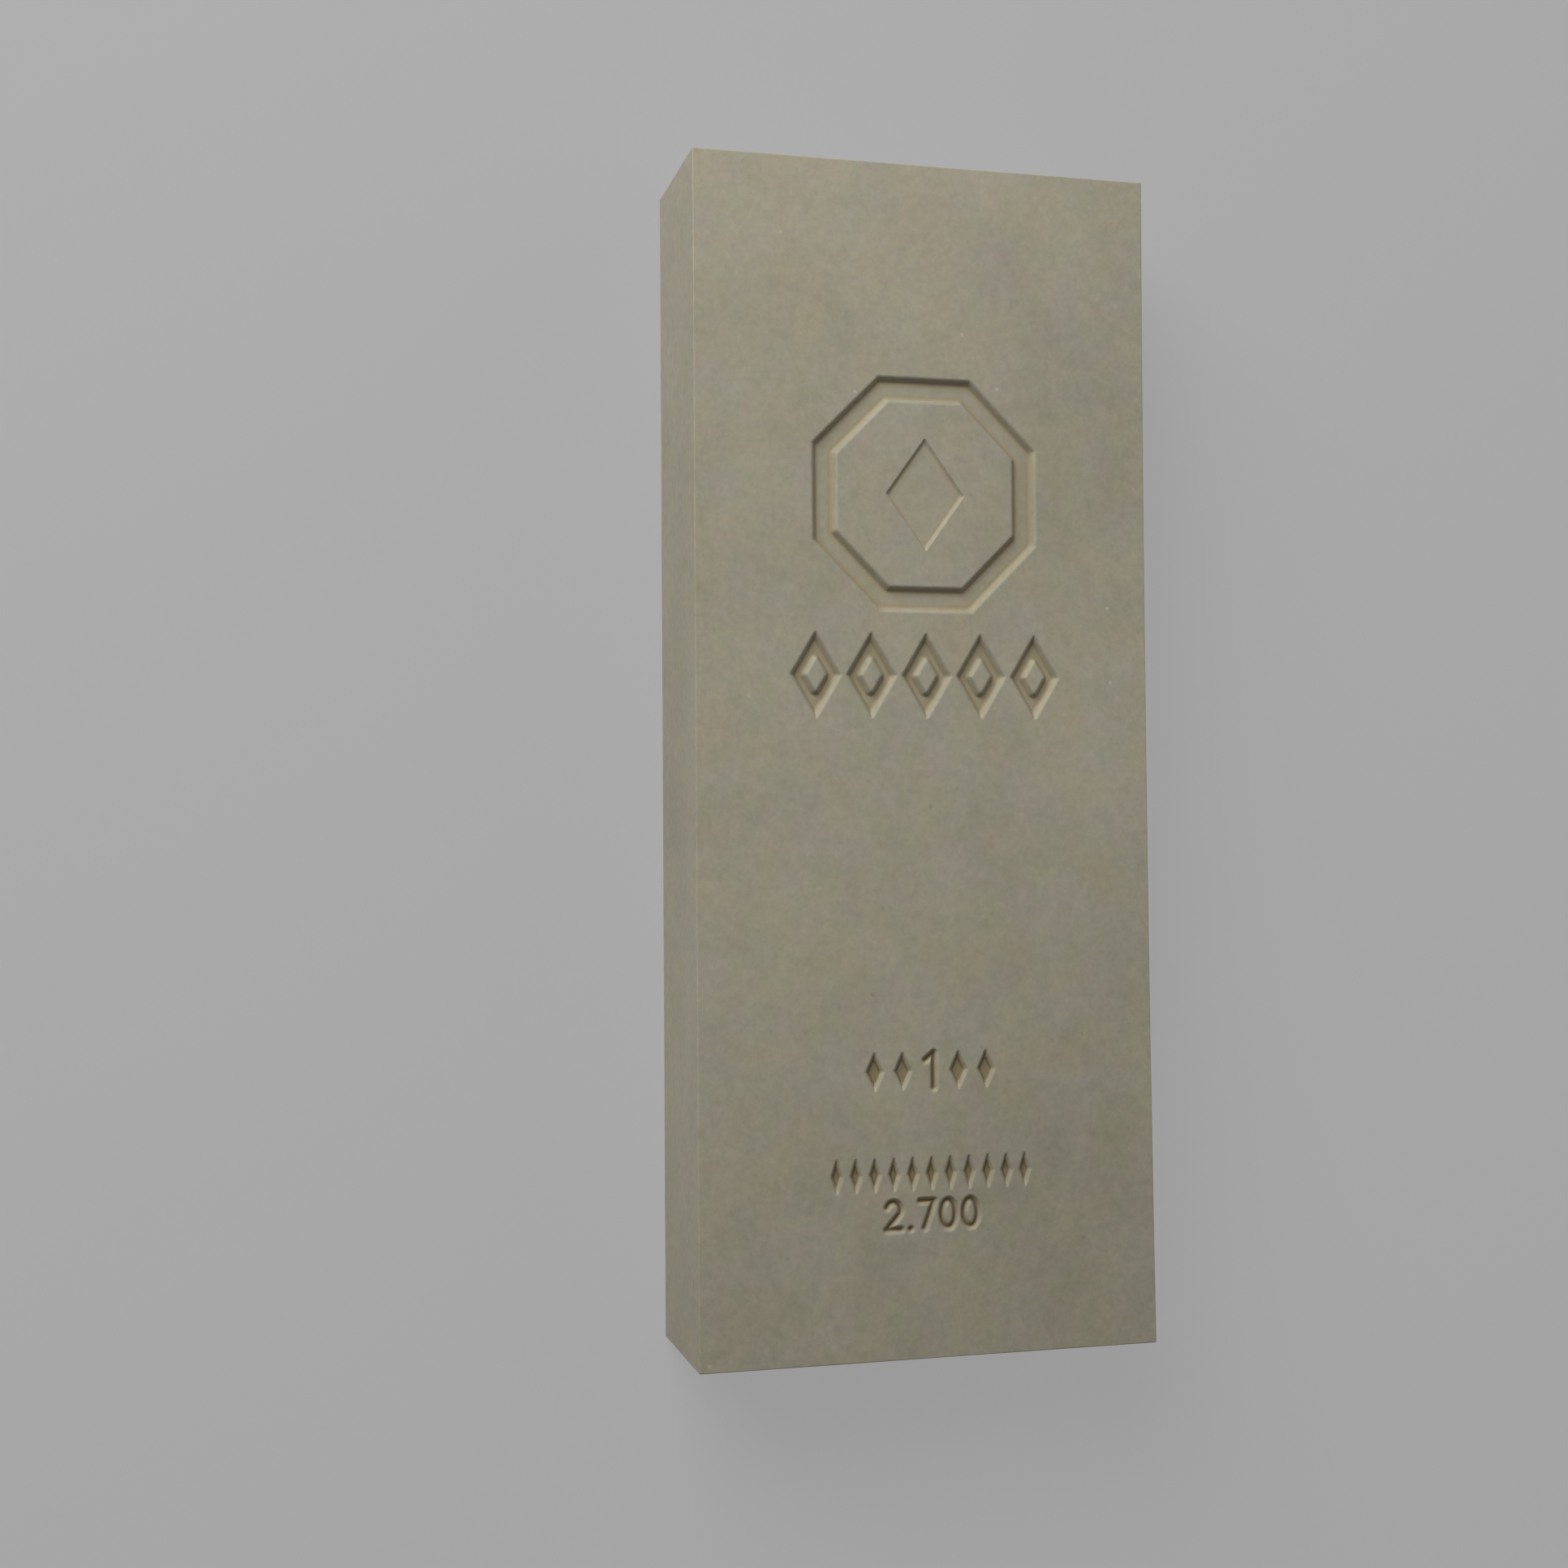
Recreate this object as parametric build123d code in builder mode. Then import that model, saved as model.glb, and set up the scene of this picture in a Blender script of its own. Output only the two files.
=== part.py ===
from build123d import *
import os

# The bar, in millimetres, lying on its back with the marked face up
bar_length = 188.0
bar_width = 75.0
bar_thickness = 26.3
edge_radius = 0.4

# How the marks are sunk: their walls lean outwards from upright by this many degrees
wall_draft = 30.0
mark_depth = 1.0
fine_depth = 0.8
panel_depth = 0.5

# Eight-sided frame, measured across its flats, its centre this far below the head of the bar
frame_width = 37.0
frame_band = 3.8
frame_from_head = 52.7

# Lozenge panel in the middle of the frame
panel_width = 13.0
panel_length = 18.0

# Row of hollow lozenges, with this space between it and the frame
link_width = 8.2
link_length = 13.6
link_stroke = 2.1
link_gap = 0.9
link_count = 5
link_below_frame = 3.4

# Lozenges that flank the weight mark, two on each side, this far above the foot of the bar
flank_width = 3.0
flank_length = 6.4
flank_pitch = 4.6
flank_from_foot = 44.7

# Row of small lozenges, this far above the foot
bead_width = 2.0
bead_length = 6.0
bead_gap = 1.1
bead_count = 11
bead_from_foot = 28.7

# Where the marks' centres lie along the face, counted from its middle towards the head
frame_place = bar_length / 2 - frame_from_head
link_place = frame_place - frame_width / 2 - link_below_frame - link_length / 2
flank_place = flank_from_foot - bar_length / 2
bead_place = bead_from_foot - bar_length / 2


def eight_sides(width, mode=Mode.ADD):
    """A regular outline of eight sides, this wide across its flats."""
    return RegularPolygon(width / 2, 8, major_radius=False, rotation=180 / 8, mode=mode)


def lozenge(width, length, mode=Mode.ADD):
    """A lozenge of this width and length about the current place."""
    half_width = width / 2
    half_length = length / 2
    corners = [(half_width, 0), (0, half_length), (-half_width, 0), (0, -half_length)]
    return Polygon(*corners, mode=mode)


def hollow_lozenge(width, length, stroke):
    """A lozenge-shaped band, its stroke measured square to its sides."""
    side = (width**2 + length**2) ** 0.5
    shrink = 1 - 2 * stroke * side / (width * length)
    lozenge(width, length)
    lozenge(width * shrink, length * shrink, mode=Mode.SUBTRACT)


def sink(depth):
    """Cut the outlines just drawn this deep, each wall leaning outwards so that the mould lets go."""
    extrude(amount=-depth, mode=Mode.SUBTRACT)
    walls = faces(Select.LAST).filter_by(Axis.Z, reverse=True)
    draft(walls, neutral_plane=marked_face, angle=wall_draft)


with BuildPart() as ingot:
    # One block of cast metal, every edge broken by the same small round
    with BuildSketch():
        Rectangle(bar_width, bar_length)
    extrude(amount=bar_thickness)
    fillet(ingot.edges(), radius=edge_radius)
    marked_face = Plane.XY.offset(bar_thickness)

    # The large marks: the frame and the row of hollow lozenges below it
    with BuildSketch(marked_face):
        with Locations((0, frame_place)):
            eight_sides(frame_width)
            eight_sides(frame_width - 2 * frame_band, mode=Mode.SUBTRACT)
        with Locations((0, link_place)):
            with GridLocations(link_width + link_gap, 0, link_count, 1):
                hollow_lozenge(link_width, link_length, link_stroke)
    sink(mark_depth)

    # The small marks near the foot are finer and a little shallower
    with BuildSketch(marked_face):
        with Locations((0, flank_place)):
            with GridLocations(3 * flank_pitch, 0, 2, 1):
                with GridLocations(flank_pitch, 0, 2, 1):
                    lozenge(flank_width, flank_length)
        with Locations((0, bead_place)):
            with GridLocations(bead_width + bead_gap, 0, bead_count, 1):
                lozenge(bead_width, bead_length)
    sink(fine_depth)

    # The panel inside the frame is sunk least
    with BuildSketch(marked_face):
        with Locations((0, frame_place)):
            lozenge(panel_width, panel_length)
    sink(panel_depth)

ingot.part.label = "ingot"

os.makedirs("parts", exist_ok=True)
export_step(ingot.part, "parts/ingot.step")
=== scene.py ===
import math

import bpy
import numpy as np
from mathutils import Matrix, Vector
from mathutils.geometry import delaunay_2d_cdt
from mathutils.kdtree import KDTree


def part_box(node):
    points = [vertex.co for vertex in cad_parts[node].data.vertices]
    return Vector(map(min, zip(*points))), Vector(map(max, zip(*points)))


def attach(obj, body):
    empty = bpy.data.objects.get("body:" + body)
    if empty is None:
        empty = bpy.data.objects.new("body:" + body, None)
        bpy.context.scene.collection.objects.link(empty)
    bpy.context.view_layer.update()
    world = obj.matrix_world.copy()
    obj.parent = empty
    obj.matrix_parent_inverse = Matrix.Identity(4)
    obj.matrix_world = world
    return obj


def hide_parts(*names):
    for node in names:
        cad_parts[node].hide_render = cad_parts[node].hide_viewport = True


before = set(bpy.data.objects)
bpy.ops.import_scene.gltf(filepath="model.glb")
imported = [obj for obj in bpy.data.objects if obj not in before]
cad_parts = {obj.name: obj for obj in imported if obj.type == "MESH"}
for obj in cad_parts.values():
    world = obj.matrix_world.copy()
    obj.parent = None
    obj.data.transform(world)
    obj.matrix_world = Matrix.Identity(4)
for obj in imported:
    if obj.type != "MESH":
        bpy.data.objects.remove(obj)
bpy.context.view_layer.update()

# The metal
# The bar is cast aluminium, blasted with fine grit after it leaves the mould. That leaves a matt
# warm grey skin with soft clouds, a close grain and a few dark specks. The broadest clouds are
# partly painted light and shade, the light specks are painted glints, and the brown in the marks is
# dust deepened into painted shade at the foot of their walls.
mm = 0.001


class Flow:
    """A socket of a node tree. Sums on it read as plain Python and add the nodes that they need."""

    def __init__(self, tree, source):
        self.tree = tree
        self.source = source

    def node(self, kind, settings, values, output=0):
        """Adds a node of this type, with its settings first and then what its sockets take."""
        made = self.tree.nodes.new(kind)
        for name, setting in settings.items():
            setattr(made, name, setting)
        for name, value in values.items():
            if isinstance(value, Flow):
                self.tree.links.new(value.source, made.inputs[name])
            else:
                made.inputs[name].default_value = value
        return Flow(self.tree, made.outputs[output] if made.outputs else None)

    def beside(self, output):
        """Another output of the same node."""
        return Flow(self.tree, self.source.node.outputs[output])

    def maths(self, operation, *others):
        values = dict(enumerate((self, *others)))
        return self.node("ShaderNodeMath", {"operation": operation}, values)

    def vector(self, operation, *others):
        values = dict(enumerate((self, *others)))
        return self.node("ShaderNodeVectorMath", {"operation": operation}, values)

    def stepped(self, low, high):
        """Rises smoothly from 0 to 1 as the value goes from low to high."""
        settings = {"interpolation_type": "SMOOTHSTEP"}
        values = {"Value": self, "From Min": low, "From Max": high}
        return self.node("ShaderNodeMapRange", settings, values)

    def mixed(self, plain, full):
        """A colour that goes from plain to full as the value goes from 0 to 1."""
        # The colour sockets of this node are inputs 6 and 7 and output 2
        values = {"Factor": self, 6: plain, 7: full}
        return self.node("ShaderNodeMix", {"data_type": "RGBA"}, values, output=2)

    def __add__(self, other):
        return self.maths("ADD", other)

    def __sub__(self, other):
        return self.maths("SUBTRACT", other)

    def __rsub__(self, other):
        return self.node("ShaderNodeMath", {"operation": "SUBTRACT"}, {0: other, 1: self})

    def __mul__(self, other):
        return self.maths("MULTIPLY", other)

    def __truediv__(self, other):
        return self.maths("DIVIDE", other)

    __radd__ = __add__
    __rmul__ = __mul__


def grains(coords, size, detail, shift=0.0):
    """Soft noise of about this size of grain, round about 0.5."""
    settings = {"noise_dimensions": "4D"}
    values = {"Vector": coords, "W": shift, "Scale": 1 / size, "Detail": detail}
    return coords.node("ShaderNodeTexNoise", settings, values)


def specks(coords, apart, radius, share):
    """Small round spots, 1 at their middles, in this share of the cells of a loose grid."""
    cell = coords.node("ShaderNodeTexVoronoi", {}, {"Vector": coords, "Scale": 1 / apart})
    chance = cell.node("ShaderNodeSeparateColor", {}, {"Color": cell.beside("Color")})
    spots = 1 - cell.stepped(0.3 * radius / apart, radius / apart)
    return spots * chance.maths("LESS_THAN", share)


dark_skin = (0.24, 0.222, 0.165, 1)
light_skin = (0.40, 0.37, 0.275, 1)
cool_tint = (0.96, 1.0, 1.14, 1)
warm_tint = (1.04, 1.0, 0.86, 1)
rose_tint = (1.06, 0.976, 1.06, 1)
green_tint = (0.94, 1.024, 0.94, 1)
# Brown dust in the marks, deepened into painted shade: the thick end darkens the foot of their
# walls and their narrow floors
thin_dust_and_shade = (0.40, 0.32, 0.175, 1)
thick_dust_and_shade = (0.15, 0.112, 0.048, 1)
dark_speck_colour = (0.12, 0.11, 0.09, 1)
# The colour of the light specks, which are painted glints
painted_glint_colour = (0.58, 0.56, 0.50, 1)
broad_tone_and_shade_strength = 0.55
cloud_strength = 0.4
mottle_strength = 0.5
grit_strength = 0.5
dark_speck_strength = 0.25
painted_glint_strength = 0.4
bare_metal_look = 0.3
mattness = 0.72
mattness_change = 0.12
bump_height = 0.05 * mm
dust_and_shade_name = "dust_and_shade"

ingot_metal = bpy.data.materials.new("blasted_aluminium")
ingot_metal.use_nodes = True
metal_tree = ingot_metal.node_tree
metal_tree.nodes.clear()
spot = Flow(metal_tree, metal_tree.nodes.new("ShaderNodeTexCoord").outputs["Object"])
# The broad clouds are partly painted light and shade: their seed lays them darker and lighter where
# the face took less and more light.
broad_tone_and_shade = grains(spot, size=60 * mm, detail=1, shift=58.25)
cloud = grains(spot, size=11 * mm, detail=2)
warmth = grains(spot, size=7 * mm, detail=3, shift=5.0)
green = grains(spot, size=4.5 * mm, detail=3, shift=12.0)
mottle = grains(spot, size=1.7 * mm, detail=1, shift=9.0)
grit = grains(spot, size=0.75 * mm, detail=2, shift=2.0)
# Light specks that stand in for glints on the blasted grit: painted highlights
glint_specks = specks(spot, apart=6 * mm, radius=0.4 * mm, share=0.15)
# A few small dark specks in the skin's colour
dark = specks(spot, apart=5 * mm, radius=0.5 * mm, share=0.1)
dust_and_shade = spot.node("ShaderNodeAttribute", {"attribute_name": dust_and_shade_name}, {}, "Fac")

clouds_and_shade = (broad_tone_and_shade - 0.5) * broad_tone_and_shade_strength + (cloud - 0.5) * cloud_strength
tone = clouds_and_shade + (mottle - 0.5) * mottle_strength + (grit - 0.5) * grit_strength + 0.5
shade = tone.mixed(dark_skin, light_skin)
warmer = warmth.mixed(cool_tint, warm_tint)
greener = green.mixed(rose_tint, green_tint)
blasted = shade.vector("MULTIPLY", warmer.vector("MULTIPLY", greener))
# Dust and painted shade in the marks, darkest at the foot of their walls
brown_dust_and_shade = dust_and_shade.mixed(thin_dust_and_shade, thick_dust_and_shade)
patchy = 0.75 + cloud * 0.5
dusty_and_shaded = (dust_and_shade * patchy).mixed(blasted, brown_dust_and_shade)
dark_specked = (dark * dark_speck_strength).mixed(dusty_and_shaded, dark_speck_colour)
# The painted glints laid over the skin's colour
with_painted_glints = (glint_specks * painted_glint_strength).mixed(dark_specked, painted_glint_colour)
bump_values = {"Strength": 0.4, "Distance": bump_height, "Height": grit * 0.6 + mottle * 0.4}
bumps = grit.node("ShaderNodeBump", {}, bump_values)
skin_look = {
    "Base Color": with_painted_glints,
    "Metallic": bare_metal_look,
    "Roughness": mattness + mottle * mattness_change,
    "Normal": bumps,
}
surface = bumps.node("ShaderNodeBsdfPrincipled", {}, skin_look)
surface.node("ShaderNodeOutputMaterial", {}, {"Surface": surface})

# The frame and its panel
# The bar is cast face down on pads that stand in the mould, and each leaves a sunk mark with
# leaning walls. The largest is an eight-sided frame round a shallow lozenge panel.
wall_draft = math.radians(30)
lip_share = 0.5
floor_ease = 0.44 * mm
corner_round = 0.3 * mm
# How far the dust and painted shade reach over a mark's floor from the foot of its wall
dust_and_shade_reach = 1.2 * mm
sunk_name = "sunk"
edge_step = 0.8 * mm
frame_width = 37.0 * mm
frame_band = 3.8 * mm
frame_depth = 1.0 * mm
frame_dust_and_shade = 0.6
frame_place = 41.3 * mm
frame_tile_size = 40 * mm
panel_width = 13.0 * mm
panel_length = 18.0 * mm
panel_depth = 0.5 * mm
panel_dust_and_shade = 0.3


def nearest(points, starts, ends):
    """How far each point, x + iy in metres, lies from the nearest of these straight runs."""
    along = ends - starts
    reach = np.maximum(np.abs(along) ** 2, 1e-18)
    away = points[:, None] - starts[None, :]
    share = np.clip((away * along.conj()).real / reach, 0, 1)
    return np.abs(away - share * along).min(axis=1)


def samples(start, end, step):
    """Evenly spaced points from start to end, no further apart than step."""
    return np.linspace(start, end, max(1, math.ceil(abs(end - start) / step)) + 1)


def directions(before, corner, after):
    """The directions from a corner back along its outline and ahead."""
    return (before - corner) / abs(before - corner), (after - corner) / abs(after - corner)


def soft_corners(outline):
    """The same outline with each of its corners turned on a small round."""
    turn_points = 6
    points = []
    for before, corner, after in zip(np.roll(outline, 1), outline, np.roll(outline, -1)):
        back, ahead = directions(before, corner, after)
        cut = corner_round / math.tan(abs(np.angle(ahead / back)) / 2)
        for t in np.linspace(0, 1, turn_points):
            points.append(corner + cut * (back * (1 - t) ** 2 + ahead * t**2))
    return np.array(points)


def outlined_pad(outlines):
    """A pad with these outlines, as how far within it a point lies and as points along its sides.

    The pad lies on the left of each outline, so a hole in it runs clockwise.
    """
    soft = [soft_corners(outline) for outline in outlines]
    starts = np.concatenate(soft)
    ends = np.concatenate([np.roll(outline, -1) for outline in soft])

    def within(points):
        crossed = np.zeros(len(points), dtype=int)
        for a, b in zip(starts, ends):
            spans = (a.imag > points.imag) != (b.imag > points.imag)
            rise = b.imag - a.imag or 1
            crossing = a.real + (points.imag - a.imag) / rise * (b.real - a.real)
            crossed += spans & (points.real < crossing)
        return nearest(points, starts, ends) * np.where(crossed % 2, 1, -1)

    def line(inset, step):
        points = []
        for a, b in zip(starts, ends):
            points.append(samples(a, b, step) + 1j * (b - a) / abs(b - a) * inset)
        for outline in outlines:
            for before, corner, after in zip(np.roll(outline, 1), outline, np.roll(outline, -1)):
                back, ahead = directions(before, corner, after)
                between = (back + ahead) / abs(back + ahead)
                lean = abs((between / ahead).imag)
                points.append(np.array([corner + between * abs(inset) / lean]))
        return np.concatenate(points)

    return within, line


def lozenge(width, length):
    return np.array([width / 2, 0.5j * length, -width / 2, -0.5j * length])


def eight_sides(width):
    turns = (np.arange(8) + 0.5) / 8
    return width / 2 / math.cos(math.pi / 8) * np.exp(2j * math.pi * turns)


def hole(outline):
    return outline[::-1]


def sunk_depth(inset, full_depth):
    """How deep the metal lies this far within a pad's side: a soft lip, a leaning wall, a floor."""
    wall = inset / math.tan(wall_draft)
    lip_ease = lip_share * full_depth
    near_lip = np.clip(1 - np.abs(wall) / lip_ease, 0, 1)
    wall = np.maximum(wall, 0) + lip_ease * near_lip**2 / 4
    near_floor = np.clip(1 - np.abs(wall - full_depth) / floor_ease, 0, 1)
    return np.minimum(wall, full_depth) - floor_ease * near_floor**2 / 4


def dust_and_shade_left(inset, full_depth):
    """How much dust and painted shade lies this far within a pad's side: most at the foot of its
    wall.
    """
    wall = full_depth * math.tan(wall_draft)
    return np.clip(inset / wall, 0, 1) ** 2 * np.clip(1 - (inset - wall) / dust_and_shade_reach, 0, 1)


def crowd(points):
    """A quick finder of the nearest of these points."""
    tree = KDTree(len(points))
    for i, point in enumerate(points):
        tree.insert((point.real, point.imag, 0), i)
    tree.balance()
    return tree


def thinned(points, apart):
    """The points without those that lie too near an earlier one."""
    tree = crowd(points)
    kept = np.ones(len(points), dtype=bool)
    for i, point in enumerate(points):
        if kept[i]:
            for _, j, _ in tree.find_range((point.real, point.imag, 0), apart):
                if j > i:
                    kept[j] = False
    return points[kept]


def fill_between(taken, low, high, step, clear):
    """A staggered grid over the rectangle from low to high, this far clear of the points taken."""
    row_share = 0.87
    columns = max(1, round((high.real - low.real) / step))
    rows = max(1, round((high.imag - low.imag) / step / row_share))
    tree = crowd(taken)
    grid = []
    for row in range(1, rows):
        y = low.imag + (high.imag - low.imag) * row / rows
        for column in range(1, columns):
            x = low.real + (high.real - low.real) * (column + 0.5 * (row % 2) - 0.25) / columns
            if tree.find((x, y, 0))[2] > clear:
                grid.append(complex(x, y))
    return np.array(grid, dtype=complex)


def border(low, high):
    """Points round the edge of a rectangle, counter-clockwise, alike on a tile and its opening."""
    corners = [low, complex(high.real, low.imag), high, complex(low.real, high.imag)]
    sides = []
    for start, end in zip(corners, corners[1:] + corners[:1]):
        parts = max(1, round(abs(end - start) / edge_step))
        sides.append(start + (end - start) * np.arange(parts) / parts)
    return np.concatenate(sides)


def joined(points, closed_lines):
    """Joins the points by triangles, keeping closed lines, each given as first point and count."""
    edges = []
    for first, count in closed_lines:
        edges += [(first + i, first + (i + 1) % count) for i in range(count)]
    flat = [(p.real / mm, p.imag / mm) for p in points]
    found, _, faces, _, _, _ = delaunay_2d_cdt(flat, edges, [], 0, 1e-5)
    return np.array([complex(*p) * mm for p in found]), faces


def mesh_object(name, points, faces, kept):
    """A mesh object from points in space, with these named values kept beside each point."""
    mesh = bpy.data.meshes.new(name)
    mesh.from_pydata(points, [], faces)
    for label, values in kept.items():
        mesh.attributes.new(label, "FLOAT", "POINT").data.foreach_set("value", values)
    made = bpy.data.objects.new(name, mesh)
    bpy.context.scene.collection.objects.link(made)
    return made


def pad_tile(name, pads, width, length, step):
    """The small rectangle of metal over one pad, or over several, each with its depth and its share
    of dust and painted shade.

    Its points follow the pads' sides, line by line, from the soft lip down the wall to the floor.
    It comes with the place of its upper right corner, counted from its middle.
    """
    off_line = 0.01 * mm
    least_gap = 0.07 * mm
    fill_step = 0.8 * mm
    fill_clear = 0.45 * mm
    corner = complex(width, length) / 2
    rim = border(-corner, corner)
    lines = []
    for (within, line), depth, _ in pads:
        lip = lip_share * depth * math.tan(wall_draft)
        foot = floor_ease * math.tan(wall_draft)
        wall = depth * math.tan(wall_draft)
        insets = [-lip, -0.5 * lip, 0, 0.5 * lip, lip]
        insets += [wall - foot, wall - 0.5 * foot, wall, wall + 0.5 * foot, wall + foot]
        # One more line on each side keeps the metal beside the mark and its floor flat
        insets += [-1.6 * lip, wall + 1.3 * foot]
        for inset in insets:
            found = line(inset, step)
            found = found[np.abs(within(found) - inset) < off_line]
            inside = (np.abs(found.real) < corner.real) & (np.abs(found.imag) < corner.imag)
            lines.append(found[inside])
    taken = np.concatenate([rim, thinned(np.concatenate(lines), least_gap)])
    fill = fill_between(taken, -corner, corner, fill_step, fill_clear)
    points, faces = joined(np.concatenate([taken, fill]), [(0, len(rim))])
    sunk = np.zeros(len(points))
    dust_and_shade = np.zeros(len(points))
    for (within, _), depth, dust_and_shade_share in pads:
        inset = within(points)
        sunk = np.maximum(sunk, sunk_depth(inset, depth))
        dust_and_shade = np.maximum(dust_and_shade, dust_and_shade_share * dust_and_shade_left(inset, depth))
    placed = [(p.real, p.imag, 0) for p in points]
    return mesh_object(name, placed, faces, {sunk_name: sunk, dust_and_shade_name: dust_and_shade}), corner


def geometry_tree(name, inputs):
    """An empty tree with these named inputs, a flow from each of them, and a call that ends it."""
    tree = bpy.data.node_groups.new(name, "GeometryNodeTree")
    for label, kind in inputs.items():
        tree.interface.new_socket(label, in_out="INPUT", socket_type="NodeSocket" + kind)
    tree.interface.new_socket("Geometry", in_out="OUTPUT", socket_type="NodeSocketGeometry")
    entry = tree.nodes.new("NodeGroupInput")
    flows = {label: Flow(tree, entry.outputs[label]) for label in inputs}

    def end(shape, metal):
        real = shape.node("GeometryNodeRealizeInstances", {}, {"Geometry": shape})
        dressed = real.node("GeometryNodeSetMaterial", {}, {"Geometry": real, "Material": metal})
        leave = tree.nodes.new("NodeGroupOutput")
        tree.links.new(dressed.source, leave.inputs["Geometry"])

    return tree, flows, end


def grown(host, tree, values):
    """Runs a tree on an object and keeps the result as the object's own plain mesh."""
    modifier = host.modifiers.new(tree.name, "NODES")
    modifier.node_group = tree
    for item in tree.interface.items_tree:
        if item.in_out == "INPUT" and item.name in values:
            modifier[item.identifier] = values[item.name]
    evaluated = host.evaluated_get(bpy.context.evaluated_depsgraph_get())
    plain = bpy.data.meshes.new_from_object(evaluated)
    host.modifiers.remove(modifier)
    host.data = plain


low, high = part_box("ingot")
row_inputs = {
    "Tile": "Geometry",
    "Count": "Int",
    "Pitch": "Float",
    "Place": "Float",
    "Height": "Float",
    "Metal": "Material",
}
row_tree, row, end_row = geometry_tree("row of marks", row_inputs)
first = (1 - row["Count"]) * row["Pitch"] / 2
start = first.node("ShaderNodeCombineXYZ", {}, {"X": first, "Y": row["Place"], "Z": row["Height"]})
spacing = first.node("ShaderNodeCombineXYZ", {}, {"X": row["Pitch"]})
line_values = {"Count": row["Count"], "Start Location": start, "Offset": spacing}
spots = start.node("GeometryNodeMeshLine", {}, line_values)
laid = spots.node("GeometryNodeInstanceOnPoints", {}, {"Points": spots, "Instance": row["Tile"]})
end_row(laid, row["Metal"])
face_parts = []
openings = []


def lay_row(tile_and_corner, count, pitch, place):
    """Lays a row of a tile across the marked face, this far from its middle towards the head."""
    tile, corner = tile_and_corner
    for n in range(count):
        centre = complex((n - (count - 1) / 2) * pitch, place)
        openings.append((centre - corner, centre + corner))
    values = {"Count": count, "Pitch": pitch, "Place": place, "Height": high.z}
    grown(tile, row_tree, values | {"Metal": ingot_metal})
    face_parts.append(tile)


frame_hole = hole(eight_sides(frame_width - 2 * frame_band))
frame_pad = outlined_pad([eight_sides(frame_width), frame_hole])
panel_pad = outlined_pad([lozenge(panel_width, panel_length)])
frame_pads = [(frame_pad, frame_depth, frame_dust_and_shade), (panel_pad, panel_depth, panel_dust_and_shade)]
frame_tile = pad_tile("frame_tile", frame_pads, frame_tile_size, frame_tile_size, step=0.7 * mm)
lay_row(frame_tile, count=1, pitch=0.0, place=frame_place)

# The row of hollow lozenges
# Five like pads of lozenge-shaped band stand side by side below the frame. They are as deep as
# the frame and a good deal bolder than the marks near the foot.
link_width = 8.2 * mm
link_length = 13.6 * mm
link_stroke = 2.1 * mm
link_pitch = 9.1 * mm
link_depth = 1.0 * mm
link_dust_and_shade = 0.65
link_place = 12.6 * mm
link_tile_length = 15.2 * mm
link_side = math.hypot(link_width, link_length)
link_shrink = 1 - 2 * link_stroke * link_side / (link_width * link_length)
link_hole = hole(lozenge(link_width * link_shrink, link_length * link_shrink))
link_pads = [(outlined_pad([lozenge(link_width, link_length), link_hole]), link_depth, link_dust_and_shade)]
link_tile = pad_tile("link_tile", link_pads, link_pitch, link_tile_length, step=0.5 * mm)
lay_row(link_tile, count=5, pitch=link_pitch, place=link_place)

# The weight mark
# A plain numeral stands between two pairs of lozenges. Its pad is a round-ended stroke, finer and
# a little lower than the pads above, as are all the marks near the foot, which hold the most dust
# and painted shade.
fine_depth = 0.8 * mm
fine_dust_and_shade = 1.0
weight_place = -49.3 * mm
weight_height = 5.4 * mm
weight_stroke = 1.2 * mm
weight_tile_width = 4.6 * mm
weight_tile_length = 7.8 * mm
flank_width = 3.0 * mm
flank_length = 6.4 * mm
flank_tile_width = 4.2 * mm


def stroked_pad(strokes, width):
    """A pad that is a round-ended stroke of this width along each of these lines."""
    starts = np.concatenate([stroke[:-1] for stroke in strokes])
    ends = np.concatenate([stroke[1:] for stroke in strokes])
    ring = np.exp(2j * math.pi * np.arange(16) / 16)

    def within(points):
        return width / 2 - nearest(points, starts, ends)

    def line(inset, step):
        reach = max(0, width / 2 - inset)
        points = []
        for a, b in zip(starts, ends):
            side = 1j * (b - a) / max(abs(b - a), 1e-9) * reach
            points += [samples(a, b, step) + side, samples(a, b, step) - side]
            points += [a + ring * reach, b + ring * reach]
        return np.concatenate(points)

    return within, line


def bend(centre, across, up, start, end):
    """Points along an oval, between two directions in degrees."""
    step = 15
    turns = np.radians(np.linspace(start, end, max(2, round(abs(end - start) / step))))
    return centre + across * np.cos(turns) + 1j * up * np.sin(turns)


def numeral_strokes(digits, height):
    """The strokes of a row of plain numerals, about its middle. Each is drawn 1 high."""
    drawings = {
        "0": [bend(0.5j, 0.27, 0.5, 0, 360)],
        "1": [np.array([-0.16 + 0.8j, 0.1 + 1j, 0.1 + 0j])],
        "2": [np.concatenate([bend(0.7j, 0.27, 0.3, 160, -25), [-0.28 + 0j, 0.29 + 0j]])],
        "7": [np.array([-0.27 + 1j, 0.27 + 1j, -0.1 + 0j])],
        ".": [np.array([0j, 1e-6 + 0j])],
    }
    room = {"0": 0.86, "1": 0.7, "2": 0.86, "7": 0.8, ".": 0.46}
    place = -sum(room[digit] for digit in digits) / 2
    strokes = []
    for digit in digits:
        place += room[digit] / 2
        strokes += [(stroke + place - 0.5j) * height for stroke in drawings[digit]]
        place += room[digit] / 2
    return strokes


def fine_tile(name, pad, width, length, step):
    """The tile of one fine mark, of the depth and the dust and painted shade that all the marks
    near the foot share.
    """
    return pad_tile(name, [(pad, fine_depth, fine_dust_and_shade)], width, length, step)


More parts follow.
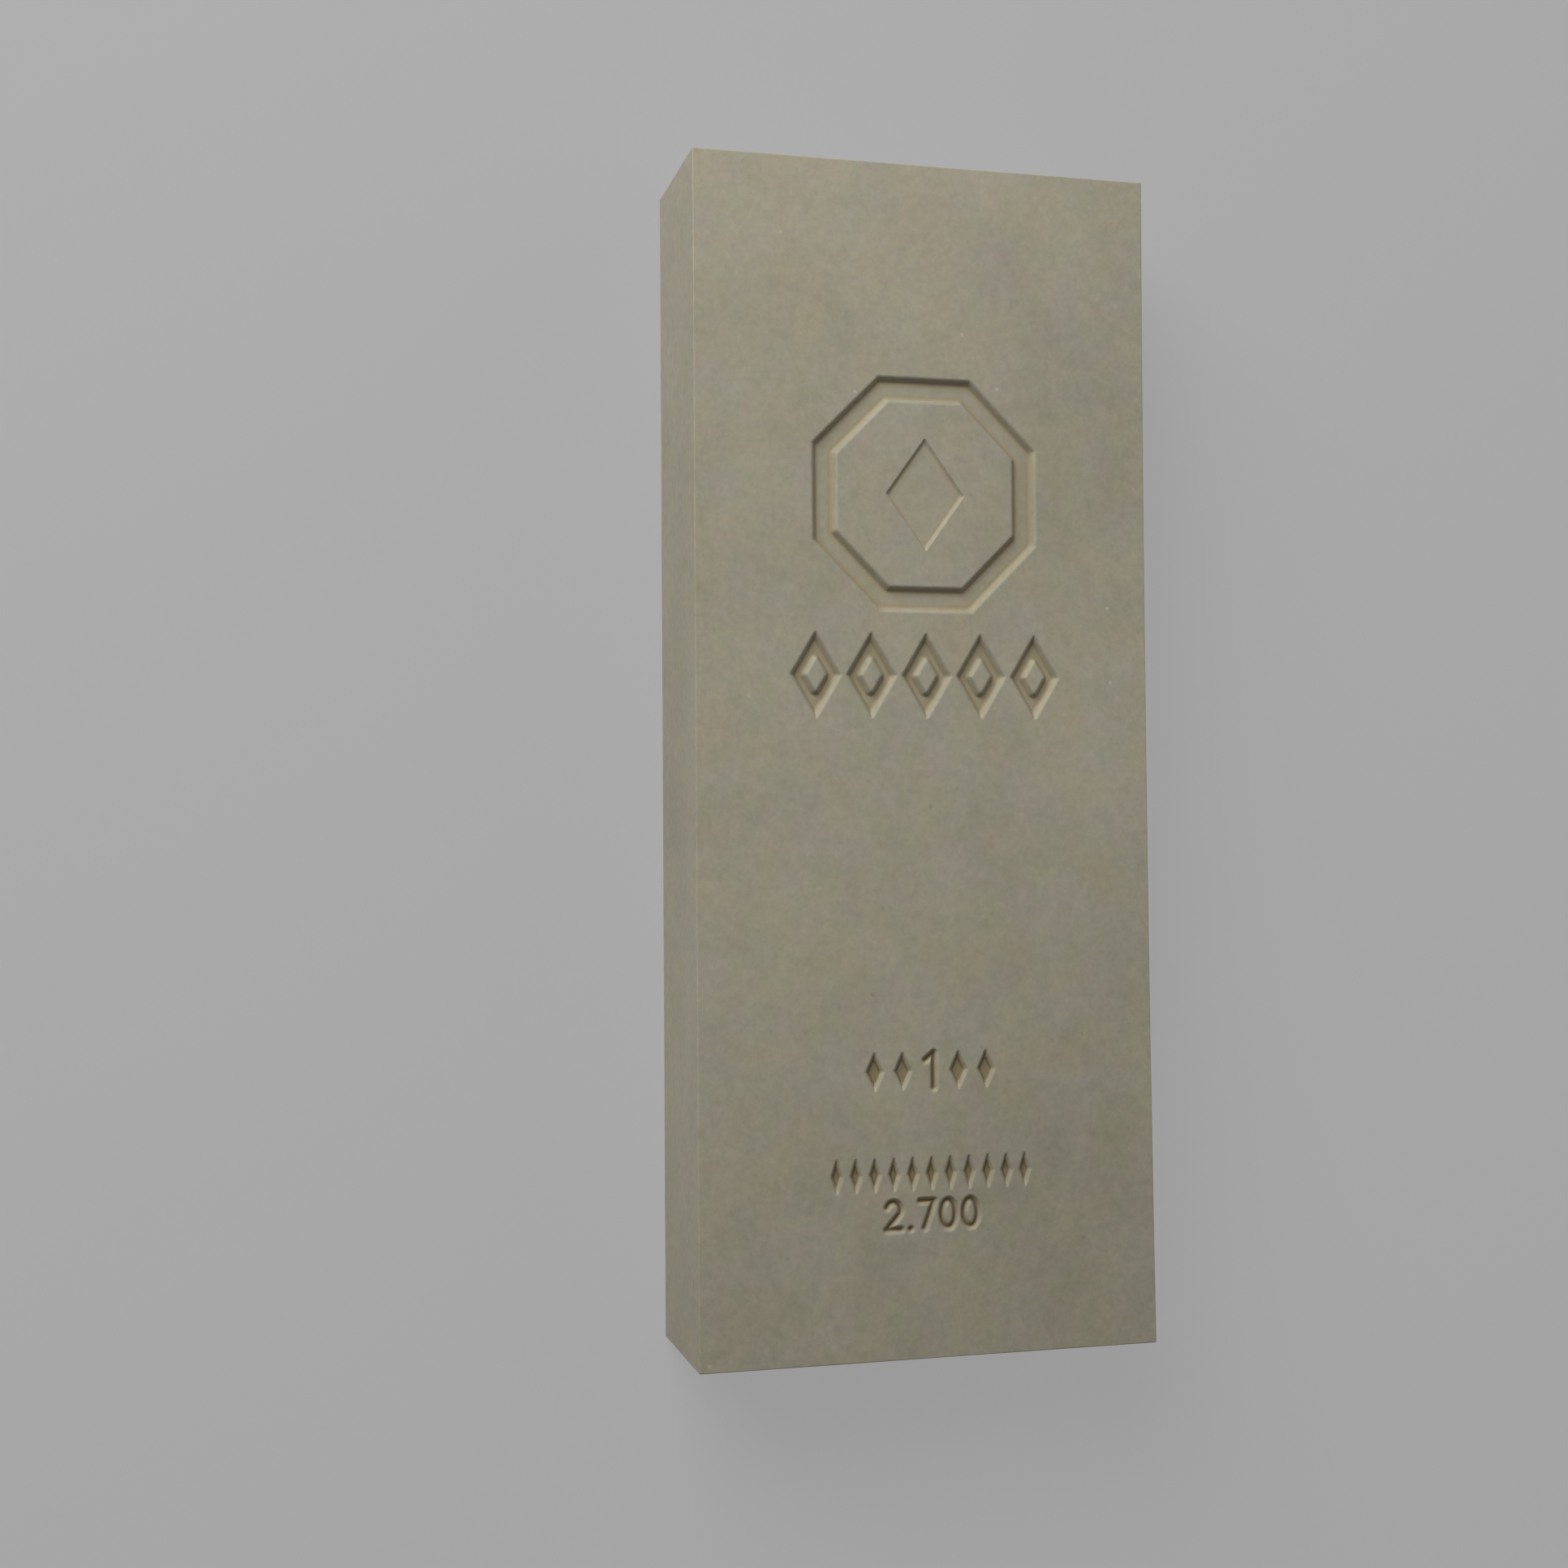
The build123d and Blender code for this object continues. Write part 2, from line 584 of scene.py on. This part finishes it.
flank_pad = outlined_pad([lozenge(flank_width, flank_length)])
for flanks_apart in (9.2 * mm, 18.4 * mm):
    flank_tile = fine_tile(
        "flank_tile", flank_pad, flank_tile_width, weight_tile_length, step=0.4 * mm
    )
    lay_row(flank_tile, count=2, pitch=flanks_apart, place=weight_place)
weight_pad = stroked_pad(numeral_strokes("1", weight_height), weight_stroke)
weight_tile = fine_tile(
    "weight_tile", weight_pad, weight_tile_width, weight_tile_length, step=0.3 * mm
)
lay_row(weight_tile, count=1, pitch=0.0, place=weight_place)

# The row of small lozenges
# Eleven narrow pads stand close together near the foot, where they read as one line of fine
# marks. They are cut like the lozenges beside the weight.
bead_width = 2.0 * mm
bead_length = 6.0 * mm
bead_pitch = 3.1 * mm
bead_place = -65.3 * mm
bead_tile_length = 6.7 * mm
bead_pad = outlined_pad([lozenge(bead_width, bead_length)])
bead_tile = fine_tile("bead_tile", bead_pad, bead_pitch, bead_tile_length, step=0.4 * mm)
lay_row(bead_tile, count=11, pitch=bead_pitch, place=bead_place)

# The density mark
# The last mark is a plain decimal number close below the small lozenges, the grams of this metal
# in a cubic centimetre. Its numerals are stroked like the weight, a little smaller.
density_height = 4.25 * mm
density_stroke = 1.15 * mm
density_place = -71.7 * mm
density_tile_width = 18.4 * mm
density_tile_length = 5.9 * mm
density_pad = stroked_pad(numeral_strokes("2.700", density_height), density_stroke)
density_tile = fine_tile(
    "density_tile", density_pad, density_tile_width, density_tile_length, step=0.3 * mm
)
lay_row(density_tile, count=1, pitch=0.0, place=density_place)

# The block
# One aluminium casting with six flat faces. Its skin is laid out as six sheets with the marks'
# tiles let into one, then closed, rounded at the edges, sunk, and drawn in where the metal shrank.
bar_width, bar_length, bar_thickness = high - low
half = (high - low) / 2
middle = (high + low) / 2
edge_round = 0.2 * mm
sheet_step = 1.5 * mm
sheet_clear = 0.7 * mm


def edge_places(length):
    """Places along a side of a sheet: rows that will turn round each edge, and even steps between.

    One row beyond the widest round keeps the faces flat.
    """
    close = edge_round * np.append(1 - np.tan(np.linspace(math.pi / 4, 0, 5)), 1.5)
    steps = round((length - 2 * edge_round) / edge_step)
    even = np.linspace(edge_round, length - edge_round, steps + 1)[1:-1]
    return close - length / 2, even - length / 2, length / 2 - close[::-1]


def sheet(width, length, put, openings=()):
    """A flat sheet with rectangles left open in it, set in place by put(across, along)."""
    left, across, right = edge_places(width)
    foot, along, head = edge_places(length)
    all_along = np.concatenate([foot, along, head])
    rim = [complex(x, y) for x in np.concatenate([left, right]) for y in all_along]
    rim += [complex(x, y) for x in across for y in np.concatenate([foot, head])]
    cuts = [border(*opening) for opening in openings]
    counts = [len(cut) for cut in cuts]
    firsts = [len(rim) + sum(counts[:i]) for i in range(len(counts))]
    taken = np.concatenate([np.array(rim)] + cuts)
    corner = complex(width / 2 - edge_round, length / 2 - edge_round)

    def is_metal(p):
        return not any(a.real < p.real < b.real and a.imag < p.imag < b.imag for a, b in openings)

    fill = fill_between(taken, -corner, corner, sheet_step, sheet_clear)
    fill = [p for p in fill if is_metal(p)]
    points, faces = joined(np.concatenate([taken, fill]), zip(firsts, counts))
    faces = [face for face in faces if is_metal(sum(points[i] for i in face) / 3)]
    placed = [middle + Vector(put(p.real, p.imag)) for p in points]
    return mesh_object("sheet", placed, faces, {})


parts = face_parts + [
    sheet(bar_width, bar_length, lambda u, v: (u, v, half.z), openings),
    sheet(bar_width, bar_length, lambda u, v: (u, -v, -half.z)),
    sheet(bar_length, bar_thickness, lambda u, v: (half.x, u, v)),
    sheet(bar_length, bar_thickness, lambda u, v: (-half.x, -u, v)),
    sheet(bar_width, bar_thickness, lambda u, v: (-u, half.y, v)),
    sheet(bar_width, bar_thickness, lambda u, v: (u, -half.y, v)),
]
points = []
faces = []
kept = {sunk_name: [], dust_and_shade_name: []}
for part in parts:
    faces += [[i + len(points) for i in polygon.vertices] for polygon in part.data.polygons]
    points += [tuple(vertex.co) for vertex in part.data.vertices]
    for label, values in kept.items():
        found = part.data.attributes.get(label)
        values += [item.value for item in found.data] if found else [0.0] * len(part.data.vertices)
    bpy.data.objects.remove(part)
ingot = mesh_object("cast_ingot", points, faces, kept)

skin_inputs = {
    "Sheets": "Geometry",
    "Middle": "Vector",
    "Half Size": "Vector",
    "Edge Round": "Float",
    "Round Change": "Float",
    "Draw": "Float",
    "Waist": "Float",
    "Seed": "Float",
    "Metal": "Material",
}
skin_tree, skin, end_skin = geometry_tree("cast skin", skin_inputs)
sheets = skin["Sheets"]
closed = sheets.node("GeometryNodeMergeByDistance", {}, {"Geometry": sheets, "Distance": 2e-6})
place = closed.node("GeometryNodeInputPosition", {}, {})
away = place.vector("SUBTRACT", skin["Middle"])
uneven = grains(place, size=6 * mm, detail=2, shift=skin["Seed"])
rounding = skin["Edge Round"] * (1 + skin["Round Change"] * (uneven - 0.5) * 2)
round_all = rounding.node("ShaderNodeCombineXYZ", {}, {"X": rounding, "Y": rounding, "Z": rounding})
inner = skin["Half Size"].vector("SUBTRACT", round_all)
outer = inner.vector("MULTIPLY", (-1, -1, -1))
held = away.vector("MAXIMUM", outer).vector("MINIMUM", inner)
out = away.vector("SUBTRACT", held).vector("NORMALIZE")
drawn = skin["Draw"] * grains(place, size=20 * mm, detail=2, shift=skin["Seed"] + 7)
mark = drawn.node("GeometryNodeInputNamedAttribute", {"data_type": "FLOAT"}, {"Name": sunk_name})
reach = rounding - drawn - mark
moved = out.node("ShaderNodeVectorMath", {"operation": "SCALE"}, {"Vector": out, "Scale": reach})
full = held.vector("ADD", moved)
share = full.vector("DIVIDE", skin["Half Size"])
across = share.node("ShaderNodeSeparateXYZ", {}, {"Vector": share})
along = across.beside("Y")
hollow = skin["Waist"] * (1 - along * along) * (across + 1) / 2
waist = hollow.node("ShaderNodeCombineXYZ", {}, {"X": hollow})
placed = skin["Middle"].vector("ADD", full).vector("SUBTRACT", waist)
shaped = closed.node("GeometryNodeSetPosition", {}, {"Geometry": closed, "Position": placed})
smooth = shaped.node("GeometryNodeSetShadeSmooth", {}, {"Geometry": shaped})
end_skin(smooth, skin["Metal"])
skin_values = {
    "Middle": middle,
    "Half Size": half,
    "Edge Round": edge_round,
    "Round Change": 0.4,
    "Draw": 0.05 * mm,
    "Waist": 0.4 * mm,
    "Seed": 4.0,
    "Metal": ingot_metal,
}
grown(ingot, skin_tree, skin_values)

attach(ingot, "root")
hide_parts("ingot")

# The floor it lies on
# A wide plain table top, pale and neutral. It shows mostly its own even tone, with the soft
# shadow of the bar on it.
floor_colour = (0.60, 0.605, 0.64, 1)
floor_even = (0.378, 0.370, 0.371, 1)
floor_evenness = 0.85
floor_corners = [(-3, -3, 0), (3, -3, 0), (3, 3, 0), (-3, 3, 0)]
floor_mesh = bpy.data.meshes.new("floor")
floor_mesh.from_pydata(floor_corners, [], [(0, 1, 2, 3)])
floor = bpy.data.objects.new("floor", floor_mesh)
bpy.context.scene.collection.objects.link(floor)
pale = bpy.data.materials.new("pale_floor")
pale.use_nodes = True
pale_tree = pale.node_tree
pale_tree.nodes.clear()


def seen_directly(tree):
    """1 for what the camera sees itself or in a gloss, and 0 for the light that falls on things."""
    path = Flow(tree, tree.nodes.new("ShaderNodeLightPath").outputs["Is Camera Ray"])
    gloss = path.beside("Is Glossy Ray").maths("MAXIMUM", path.beside("Is Transmission Ray"))
    return path.maths("MAXIMUM", gloss)


seen = seen_directly(pale_tree)
lit = seen.node("ShaderNodeBsdfPrincipled", {}, {"Base Color": floor_colour, "Roughness": 0.9})
even = seen.node("ShaderNodeEmission", {}, {"Color": floor_even, "Strength": 1.0})
both = seen.node("ShaderNodeMixShader", {}, {"Fac": seen * floor_evenness, 1: lit, 2: even})
both.node("ShaderNodeOutputMaterial", {}, {"Surface": both})
floor.data.materials.append(pale)

# Light
# One soft lamp stands above the head of the bar, well to the left. A weak wide one on the right
# softens its shadows, and the room adds a faint even light.
room_colour = (0.99, 0.98, 1.0, 1)
room_light = 0.12
room_seen = 0.33
world = bpy.data.worlds.new("studio")
bpy.context.scene.world = world
world.use_nodes = True
room_tree = world.node_tree
room_tree.nodes.clear()
seen = seen_directly(room_tree)
room_strength = room_light + seen * (room_seen - room_light)
room = seen.node("ShaderNodeBackground", {}, {"Color": room_colour, "Strength": room_strength})
room.node("ShaderNodeOutputWorld", {}, {"Surface": room})
aim = Vector((0, 0, high.z))


def lamp(name, place, size, power):
    """A square lamp of this size, turned to the middle of the marked face."""
    light = bpy.data.lights.new(name, "AREA")
    light.size = size
    light.energy = power
    made = bpy.data.objects.new(name, light)
    made.location = place
    made.rotation_euler = (aim - Vector(place)).to_track_quat("-Z", "Y").to_euler()
    bpy.context.scene.collection.objects.link(made)


lamp("key", place=(-0.346, 0.477, 0.439), size=0.55, power=6.95)
lamp("right_fill", place=(0.732, 0.267, 0.476), size=0.6, power=1.2)

# Camera
# It looks down on the marked face from the left, so that the left side of the bar shows too, and
# the head of the marks is up in the picture.
camera_place = Vector((-103.558, -15.640, 336.405)) * mm
camera_aim = Vector((-23.571, -4.482, 26.3)) * mm
camera_turn = Matrix.Rotation(math.radians(-0.412), 4, "Z")
camera = bpy.data.objects.new("camera", bpy.data.cameras.new("camera"))
camera.data.sensor_width = 36
camera.data.lens = 47.6225
camera.data.clip_start = 0.01
back = (camera_place - camera_aim).normalized()
side = Vector((0, 1, 0)).cross(back).normalized()
held_level = Matrix((side, back.cross(side), back)).transposed().to_4x4()
camera.matrix_world = Matrix.Translation(camera_place) @ held_level @ camera_turn
bpy.context.scene.collection.objects.link(camera)
bpy.context.scene.camera = camera

bpy.context.scene.view_settings.view_transform = "Standard"
